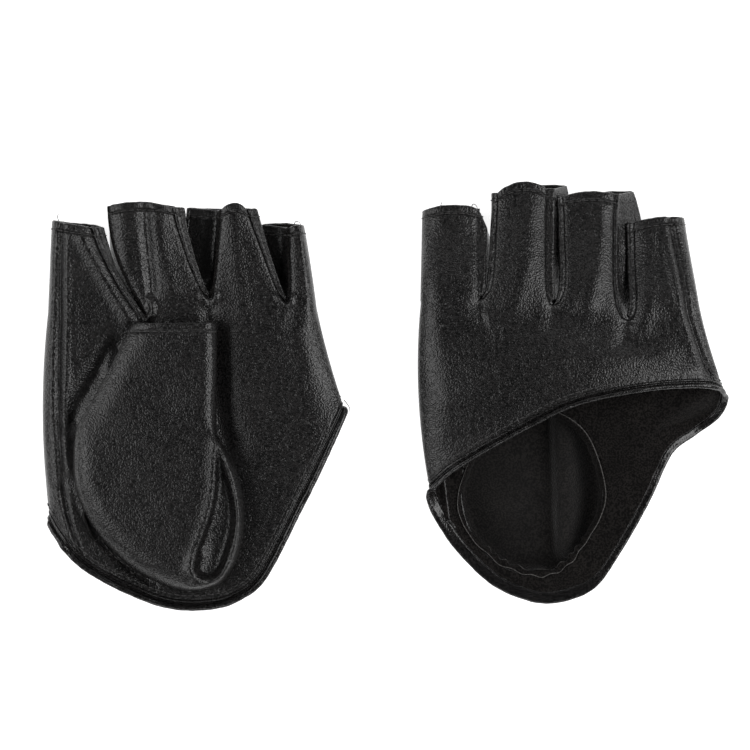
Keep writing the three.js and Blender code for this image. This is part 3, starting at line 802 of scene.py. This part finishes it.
# ---- strips between the fingers
def fourchette_grid(glove, gap, u, count):
    """Places on the V-shaped strip of one gap: u along it from tip to tip, and count across it."""
    rows = []
    for step in u:
        lane, s = (gap, 1.0) if step < 0 else (gap + 1, 0.0)
        t = 1 + abs(step)
        upper = skin(glove, lane, s, glove.up, t)
        lower = skin(glove, lane, s, OTHER[glove.up], t)
        facing_edges = [skin(glove, gap, 1.0, glove.up, t), skin(glove, gap + 1, 0.0, glove.up, t)]
        room = max(0.1, facing_edges[1][0] - facing_edges[0][0])
        own, partner = glove.piping[gap] if step < 0 else glove.piping[gap][::-1]
        reach, other = mix(own[1], own[0], abs(step)), mix(partner[1], partner[0], abs(step))
        reach = min(reach, 0.95 * room * reach / (reach + other))
        if gap in glove.tapered and step < 0:
            reach *= 1 - 0.85 * np.clip((-step - 0.8) / 0.2, 0, 1)
        turn = np.clip(step / 0.05, -1, 1) * np.pi / 2
        out = np.array([-np.sin(turn), np.cos(turn), 0])
        double = glove.double * smooth((reach - 1.2) / 1.5)
        lip = [(-0.25, glove.groove), (0.24 * reach + 0.15, 0.1), (0.55 * reach, double - 0.05),
               (0.84 * reach, 0.15), (reach, 1.3)]
        lip = [upper + out * a * min(1, reach / 1.1) - (0, 0, b) for a, b in lip]
        finish = lower + (0, 0, 0.8) + out * 0.1
        wall = [mix(lip[-1], finish, share) for share in (0.35, 0.7)]
        if step > 0 and glove.hollow[gap]:
            sunk = glove.hollow[gap] * smooth(step * 3)
            bottom = np.array([0, 0, lower[2] + 1.2])
            wall = [mix(w, mix(lip[-1], finish, share) * (1, 1, 0) + bottom, sunk)
                    for w, share in zip(wall, (0.12, 0.5))]
        row = resample(spline([*lip, *wall, finish], 6), 0.1)
        place = np.linspace(0, len(row) - 1, count)
        rows.append(np.stack([np.interp(place, np.arange(len(row)), row[:, i]) for i in range(3)], 1))
    return np.array(rows)


def fourchette(glove, gap):
    """The strip between two fingers, before it is given a thickness."""
    half = 1 - np.linspace(0, 1, 52) ** 1.15
    u = np.concatenate([-half[:-1], [0.0], half[:-1][::-1]])
    grid = fourchette_grid(glove, gap, u, 34)
    grid[..., 2] += 0.12 * lattice_noise(grid, 4, 21 + gap)
    return grid.reshape(-1, 3), grid_faces(*grid.shape[:2])[:, ::-1]


# ---- thumb
def palm_face(glove):
    """The height of a glove's palm, and the way out of it: 1 up or -1 down."""
    return (glove.high[1], 1) if glove.up == PALM else (glove.low[1], -1)


def folded_pocket(top, x, y, to_right):
    """The left thumb's height, with its right side folded into a pocket."""
    edge, rim = spline(POCKET_EDGE), spline(POCKET_EDGE[-2:] + POCKET_RIM)
    pocket = np.concatenate([edge[:-1], spline(POCKET_EDGE[-1:] + POCKET_RIM)])
    d_edge, d_rim = nearest(edge, x, y)[0], nearest(rim, x, y)[0]
    within = inside(pocket, x, y)
    depth = 3.6 * smooth(d_rim / 3.2) + 1.2 * np.clip(d_rim / 12, 0, 1)
    top = top - np.where(within, depth * smooth(d_edge / 1.3), 0)
    leaf = smooth((x - np.interp(y, edge[::-1, 1], edge[::-1, 0])) / 8) * smooth((66 - y) / 8)
    top = top - 1.8 * leaf
    top = top + 0.8 * np.exp(-((d_edge / 2.4) ** 2)) * ~within * smooth((70 - y) / 8)
    top = top + 0.4 * np.exp(-((d_rim / 2.0) ** 2))
    top = top - 1.3 * smooth((4.5 - to_right) / 4.5) * smooth((y - 58) / 8)
    return top - 0.055 * (52 - x) * smooth((x - 8) / 12)


def long_fold(top, x, y, _):
    """The right thumb's height, with one fold along it."""
    fold = x - 52 + 0.03 * (y - 40)
    fold = fold / np.where(fold < 0, 2.4, 5.6)
    return top - 6.3 * np.exp(-(fold**2)) * smooth((y - 12) / 10) * smooth((88 - y) / 20)


# Each thumb's left and right edges from its tip, how far in they roll over, and its fold.
LEFT.thumb = Shape(
    left=[(32.9, 101.9), (28.1, 92.9), (23, 82.8), (18.2, 73.8), (14.2, 67.3), (12.3, 61.2), (11.6, 51.5),
          (12.7, 42.5), (15.4, 35.3), (18.7, 29.2), (22.7, 24.1), (31.3, 15.8), (38.5, 11.2), (49.3, 6.8)],
    right=[(63.2, 101.9), (63.2, 85), (63, 66), (64.6, 60.6), (68.2, 54.4), (70.6, 48), (72, 42),
           (72.8, 34.2), (71.9, 24.1), (69, 15.4), (64.4, 9.6), (58, 7.2), (49.3, 6.8)],
    roll=(8.5, 2.2),
    fold=folded_pocket,
)
RIGHT.thumb = Shape(
    left=[(33, 102), (28.4, 93), (23, 83), (18, 74), (14.6, 66), (13, 58), (12.2, 49), (12.2, 40),
          (13.4, 31), (16.6, 22.6), (21.6, 16), (28, 11.2), (35, 8.2), (43, 7)],
    right=[(63.4, 102), (63.4, 82), (65, 68), (67.4, 56), (68.8, 46), (69, 38), (67.6, 29),
           (64.2, 20.6), (59, 13.8), (53, 9.2), (48, 7.4), (43, 7)],
    roll=(7.0, 7.0),
    fold=long_fold,
)
# The left thumb's pocket: its open edge, then the way round its rim.
POCKET_EDGE = [(63.2, 66), (63, 59), (62.8, 50), (62.3, 42), (60.8, 34.6), (57.6, 25.4), (55.2, 19.3),
               (54.4, 15)]
POCKET_RIM = [(56.4, 11.6), (60.6, 10.6), (65, 13), (68.4, 20.8), (70.2, 28), (70.6, 35),
              (69, 45), (66.4, 53), (64, 60)]


def thumb_grid(glove, y, u):
    """The thumb's outer face at rows y and places u across it, from -1 to 1.

    Returns x, y, the lift over the palm, the edges' lift, and the distance from the nearer edge.
    """
    shape = glove.thumb
    left, right = spline(shape.left), spline(shape.right)
    x_left = np.interp(y, left[::-1, 1], left[::-1, 0])
    x_right = np.interp(y, right[::-1, 1], right[::-1, 0])
    x = mix(x_left[:, None], x_right[:, None], (u[None] + 1) / 2)
    yy = np.broadcast_to(y[:, None], x.shape)
    to_left, to_right = nearest(left, x, yy)[0], nearest(right, x, yy)[0]
    base = mix(0.4, 4.6, smooth((yy - glove.parting) / 18))
    crown = ((x - (x_left + x_right)[:, None] / 2) / (x_right - x_left + 1)[:, None]) ** 2
    top = shape.fold(THUMB_LIFT - 1.6 * crown, x, yy, to_right)
    share = quarter_round(to_left / shape.roll[0]) * quarter_round(to_right / shape.roll[1])
    lift = base + (top - base) * share
    return x, yy, lift, base, np.minimum(to_left, to_right)


def thumb_sheet(glove):
    """The thumb before it is given a thickness: its outer face, and its underside past the parting."""
    first, tip = glove.thumb.left[-1][1], glove.thumb.left[0][1]
    near = first + 14 * (np.arange(26) / 26) ** 2
    far = np.linspace(first + 14, tip, 86)
    y = np.unique(np.concatenate([near, far, np.linspace(tip - 3.4, tip - 1.6, 11)]))
    u = np.sin(np.linspace(-np.pi / 2, np.pi / 2, 66))
    x, yy, lift, base, d = thumb_grid(glove, y, u)
    palm, off = palm_face(glove)
    hem = -0.5 * np.exp(-(((tip - yy - HEM_STEP) / 0.55) ** 2))
    outer = np.stack([x, yy, lift + hem * smooth(d / 1.5)], -1)
    outer[..., 2] += 0.3 * lattice_noise(outer, 15, 31) * smooth(d / 3)
    outer[..., 2] += 0.1 * lattice_noise(outer, 5, 32) * smooth(d / 3)
    outer[-1, :, 1] += 0.15 * lattice_noise(outer[-1], 1.7, 33)
    under_rows = y > glove.parting + 5
    under = outer[under_rows].copy()
    under[..., 2] = base[under_rows] - (base[under_rows] - 1.4) * quarter_round(d[under_rows] / 3)
    under[..., 2] -= (hem * 0.8 * smooth(d / 1.5))[under_rows]
    faces = np.concatenate([grid_faces(*outer.shape[:2]),
                            grid_faces(*under.shape[:2], x.size)[:, ::-1]])
    vertices = np.concatenate([outer.reshape(-1, 3), under.reshape(-1, 3)])
    vertices[:, 2] = palm + off * vertices[:, 2]
    if off < 0:
        faces = faces[:, ::-1]
    return weld(vertices, faces)


def thumb_ring(glove):
    """The line round the thumb at its row of stitches."""
    tip = glove.thumb.left[0][1]
    y = np.full(1, tip - HEM_STEP)
    u = np.sin(np.linspace(-np.pi / 2, np.pi / 2, 40))
    x, yy, lift, base, d = thumb_grid(glove, y, u)
    top = np.stack([x[0], yy[0], lift[0] - 0.5 * smooth(d[0] / 1.5)], -1)
    low = top[::-1].copy()
    low[:, 2] = (base - (base - 1.4) * quarter_round(d / 3))[0][::-1] + 0.4 * smooth(d[0][::-1] / 1.5)
    ring = np.concatenate([top[1:], low[1:]])
    palm, off = palm_face(glove)
    ring[:, 2] = palm + off * ring[:, 2]
    return ring


# ---- lines round the openings
def outward(ring, axis=1):
    """The way out of a tube at each point of a ring round it, square to one axis."""
    tangent = np.roll(ring, -1, axis=0) - np.roll(ring, 1, axis=0)
    out = np.cross(tangent, np.eye(3)[axis])
    out[:, axis] = 0
    out = unit(out)
    if (out * (ring - ring.mean(0))).sum() < 0:
        out = -out
    return out


def finger_ring(glove, lane):
    """The line round a finger at its row of stitches."""
    t = 2 - HEM_STEP / finger_length(glove, glove.up, lane)
    s = 0.5 - 0.5 * np.cos(np.linspace(0, np.pi, 24))
    upper = skin(glove, lane, s, glove.up, t)
    lower = skin(glove, lane, s[::-1], OTHER[glove.up], t)
    count = 30
    some = np.round(np.linspace(0, 1, 14)[1:-1] * (count - 1)).astype(int)
    right = fourchette_grid(glove, lane, [1 - t], count)[0, some] if lane < 3 else upper[:0]
    left = fourchette_grid(glove, lane - 1, [t - 1], count)[0, some[::-1]] if lane > 0 else upper[:0]
    ring = np.concatenate([upper[1:-1], right, lower[1:-1], left])
    return resample(ring, 0.8, closed=True)


def wrist_line(glove):
    """The panels' edge round the wrist, the way off it, and the way out of the glove."""
    around = []
    for side in (PALM, BACK):
        half = []
        for lane in range(4):
            for face, s in panel_columns(glove, side, lane, np.zeros(1))[0 if lane == 0 else 1:]:
                half.append(skin(glove, lane, s, face, [0, 0.05]).reshape(6))
        around += half[::1 if side == PALM else -1]
    both = resample(np.array(around), LINE_STEP, closed=True)
    kernel = np.hanning(9)[1:-1]
    kernel /= kernel.sum()
    padded = np.concatenate([both[-3:], both, both[:3]])
    both = np.stack([np.convolve(padded[:, i], kernel, "valid") for i in range(6)], 1)
    line, within = both[:, :3], both[:, 3:]
    tangent = unit(np.roll(line, -1, axis=0) - np.roll(line, 1, axis=0))
    away = line - within
    away = unit(away - tangent * (away * tangent).sum(1, keepdims=True))
    out = np.cross(away, tangent)
    if glove.up == BACK:
        out = -out
    return line, away, out


# ---- building
def finish_piece(made, nodes, body=None):
    if body:
        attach(made, body)
    if nodes:
        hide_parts(*nodes)


def sewn_line(glove, name, line, up, slot_nodes, body, **settings):
    made = add_mesh(f"{glove.name}_{name}_stitches", glove, [THREAD], *stitches(line, up, **settings))
    finish_piece(made, slot_nodes, body)


def build_binding(glove, line, away, out, body):
    scale = np.ones(len(line))
    if glove.up == BACK:
        over = smooth((out[:, 2] - 0.2) / 0.5)
        scale = 1 - 0.18 * over - 0.34 * (1 - over) * smooth((line[:, 0] - 55) / 14)
    profile = spline([(0.15, 0.1), (0.5, 0.68), (1.15, 0.8), (1.8, -0.05), (2.35, 0.6), (3.1, 1.05),
                      (4.0, 0.7), (4.35, 0), (4.0, -0.72), (3.0, -0.95), (1.8, -0.85), (0.6, -0.8),
                      (0.15, -0.4)], 3, closed=True)
    centres = line - out * LEATHER / 2
    count = len(line)
    along = np.arange(count)[:, None] * LINE_STEP
    ring = np.broadcast_to(profile, (count, *profile.shape)).copy()
    ring[..., 0] *= scale[:, None]
    place = np.stack(np.broadcast_arrays(along, ring[..., 1] * 2, ring[..., 0]), -1)
    pucker = lattice_noise(place, 2.1, 41)
    ring[..., 1] *= 1 + 0.1 * pucker
    ring[..., 0] += 0.07 * pucker
    vertices, faces = swept(centres, away, out, ring)
    from_core = vertices - np.repeat(centres + away * 2.2, len(profile), 0)
    if (vertex_normals(vertices, faces) * from_core).sum() < 0:
        faces = faces[:, ::-1]
    made = add_mesh(f"{glove.name}_wrist_binding_leather", glove, [BOUND], vertices, faces)
    finish_piece(made, [f"{glove.name}_wrist_binding"], body)


def side_seam(glove, side, lane):
    """The line of a panel's side seam, a little under the skin, and the way out of it."""
    t = np.linspace(0.03, 1.98, 110)
    share = seam_shares(glove, side, t)
    s = share if lane == 0 else 1 - share
    line = skin(glove, lane, s, side, t)
    facing = 1 if side == glove.up else -1
    line[:, 2] -= facing * 1.5
    return line, upward(line, facing)


def flange(glove, body):
    """The seam allowance round the thumb hole, inside the glove: a collar with a wavy raw edge."""
    centre = np.array([40.8, 36.2])
    line = spline([(16.2, 45), (14.2, 36.4), (15.2, 30), (19.4, 22.7), (28.1, 14.4), (36.7, 10.6),
                   (45, 9.4), (53.3, 13.2), (60.5, 22.7), (65, 30.6), (66.8, 39.2), (63.8, 52),
                   (58.3, 62), (48, 68), (35, 67), (23, 59)], 14, closed=True)
    line = resample(line, 0.6, closed=True)
    palm, down = palm_face(glove)
    palm, off = palm - down * LEATHER, -down
    angle = np.arange(len(line)) / len(line) * 2 * np.pi
    low_side = smooth((30 - line[:, 1]) / 16)
    rows = []
    for k in range(7):
        share = 1 - 0.07 * k / 6
        wave = (0.004 + 0.016 * low_side) * np.sin(angle * 29 + 3 * np.sin(angle * 5)) * k / 6
        edge_wave = 0.014 * low_side * np.sin(angle * 21 + 2 * np.sin(angle * 3)) * (1 - k / 6)
        xy = centre + (line - centre) * (share + wave + edge_wave)[:, None]
        ripple = (0.1 + 0.5 * low_side * k / 6) * np.sin(angle * 23 + 1) * k / 6
        lift = 0.7 - 3.2 * (k / 6) ** 2 * (1 - 0.75 * low_side) + ripple
        rows.append(np.column_stack([xy, palm + off * lift]))
    grid = np.array(rows)
    faces = grid_faces(*grid.shape[:2], closed=True)
    vertices = grid.reshape(-1, 3)
    if (vertex_normals(vertices, faces)[:, 2] * off).sum() < 0:
        faces = faces[:, ::-1]
    vertices, faces, kinds = thicken(vertices, faces, 0.5)
    sunk = (vertices[faces][..., 2].mean(1) - palm) * off < -0.8
    kinds[(kinds == 2) & sunk] = 0
    made = add_mesh(f"{glove.name}_thumb_seam_allowance", glove, [LINING, GRAIN, CUT], vertices, faces,
                    kinds)
    finish_piece(made, [], body)


def upward(line, facing=1.0):
    return np.tile([0, 0, facing], (len(line), 1))


def loose_end(points, radius=0.16):
    """A thread's free end: a thin tapering rod along a few points."""
    line = spline(points, 5)
    tangent = unit(np.gradient(line, axis=0))
    side = unit(np.cross(tangent, (0.3, 0.2, 1.0)))
    angles = np.arange(6) / 6 * 2 * np.pi
    size = radius * (1 - 0.6 * np.linspace(0, 1, len(line)) ** 2)
    profile = np.stack([np.cos(angles), np.sin(angles)], -1)[None] * size[:, None, None]
    return swept(line, side, np.cross(side, tangent), profile, closed=False)


def build_glove(glove):
    prefix, body = glove.name, f"{glove.name}_glove"
    for side in (PALM, BACK):
        vertices, faces = panel(glove, side)
        if side == PALM:
            vertices, faces = cut_hole(vertices, faces, np.array(glove.hole[0]), np.array(glove.hole[1]))
        made = add_mesh(f"{prefix}_{side}_panel_leather", glove, [GRAIN, LINING, GRAIN],
                        *thicken(vertices, faces, LEATHER))
        finish_piece(made, [f"{prefix}_{side}_panel"], body)
    for gap in range(3):
        name = f"fourchette_{FINGERS[gap]}_{FINGERS[gap + 1]}"
        made = add_mesh(f"{prefix}_{name}_leather", glove, [GRAIN, LINING, GRAIN],
                        *thicken(*fourchette(glove, gap), STRIP))
        finish_piece(made, [f"{prefix}_{name}"], body)
    line, away, out = wrist_line(glove)
    build_binding(glove, line, away, out, body)
    sewn_line(glove, "binding", line - away * 1.1 + out * 0.12, out, [f"{prefix}_binding_thread"], body,
              pitch=2.4, length=1.8)
    for lane, name in enumerate(FINGERS):
        ring = finger_ring(glove, lane)
        sewn_line(glove, f"{name}_hem", ring + outward(ring) * 0.1, outward(ring),
                  [f"{prefix}_hem_thread_{name}"], body, pitch=2.7, length=2.1)
    for side, lane in SEAM_LANE.items():
        seam, up = side_seam(glove, side, lane)
        sewn_line(glove, f"{FINGERS[lane]}_side_seam", seam, up,
                  [f"{prefix}_side_seam_thread_{FINGERS[lane]}"], body, closed=False)
    made = add_mesh(f"{prefix}_loose_thread_ends", glove, [THREAD], *joined(map(loose_end, glove.loose)))
    finish_piece(made, [], body)
    if glove is RIGHT:
        finger_seams(glove, body)
    build_thumb(glove, body)
    flange(glove, body)


def finger_seams(glove, body):
    """The rows of stitches on both sides of each gap between the back's fingers."""
    parts = []
    for lane, s in ((0, 1), (1, 0), (1, 1), (2, 0), (2, 1), (3, 0)):
        t = np.linspace(1.06, 1.92, 60)
        share = 0.75 / lane_width(glove, BACK, lane, t)
        row = skin(glove, lane, share if s == 0 else 1 - share, BACK, t)
        parts.append(stitches(row + (0, 0, 0.05), upward(row), pitch=2.5, length=1.7, radius=0.17,
                              closed=False))
    made = add_mesh(f"{glove.name}_finger_seam_stitches", glove, [THREAD], *joined(parts))
    finish_piece(made, [], body)


def build_thumb(glove, body):
    """The thumb, with its hem and its seam."""
    prefix, thumb_body = glove.name, f"{glove.name}_thumb"
    made = add_mesh(f"{prefix}_thumb_leather", glove, [GRAIN, NAP, GRAIN],
                    *thicken(*thumb_sheet(glove), LEATHER))
    finish_piece(made, [f"{prefix}_thumb"])
    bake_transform(made)
    ring = thumb_ring(glove)
    sewn_line(glove, "thumb_hem", ring, outward(ring), [f"{prefix}_hem_thread_thumb"], thumb_body,
              pitch=2.7, length=2.1)
    ellipse = np.radians(np.arange(0, 360, 3))
    (cx, cy), (rx, ry) = glove.hole
    seam = np.column_stack([cx + (rx + 1.3) * np.cos(ellipse), cy + (ry + 1.3) * np.sin(ellipse),
                            np.full(len(ellipse), palm_face(glove)[0])])
    sewn_line(glove, "thumb_seam", seam, upward(seam), [f"{prefix}_thumb_seam_thread"], body)


def make_floor():
    mesh = bpy.data.meshes.new("floor")
    corners = [(-2.5, -2.5, 0), (2.5, -2.5, 0), (2.5, 2.5, 0), (-2.5, 2.5, 0)]
    mesh.from_pydata(corners, [], [(0, 1, 2, 3)])
    mesh.materials.append(floor_material())
    put("floor", mesh)


build_glove(LEFT)
build_glove(RIGHT)
make_floor()
